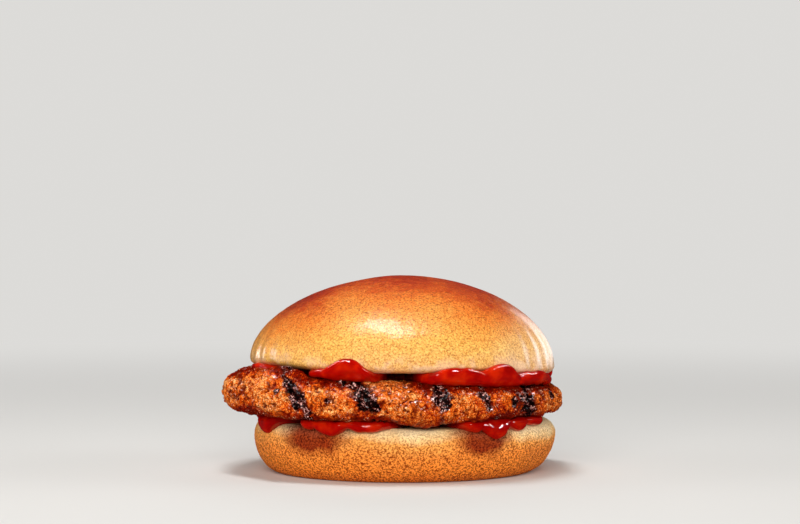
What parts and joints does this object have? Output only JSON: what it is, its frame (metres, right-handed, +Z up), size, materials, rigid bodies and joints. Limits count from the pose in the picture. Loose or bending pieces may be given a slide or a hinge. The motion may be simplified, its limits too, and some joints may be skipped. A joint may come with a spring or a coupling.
{
  "type": "sausage sandwich",
  "caption": "Grilled sausage patty with tomato sauce above and below it, stacked between the heel and the domed crown of a soft round bun.",
  "frame": {"origin": "centre of the sandwich's length and depth, on the table under the heel", "axes": "+X along the sandwich's longest side, to the viewer's right from the front, where the front faces -Y; +Z up through the layers"},
  "size_m": [0.1136, 0.1074, 0.065],
  "materials": {
    "bread": "matte",
    "crust": "satin",
    "sausage": "satin",
    "sauce": "gloss"
  },
  "bodies": {
    "root": {"heel": "bread", "sauce_lower": "sauce", "patty": "sausage", "sauce_upper": "sauce", "crown": "crust"}
  },
  "joints": []
}
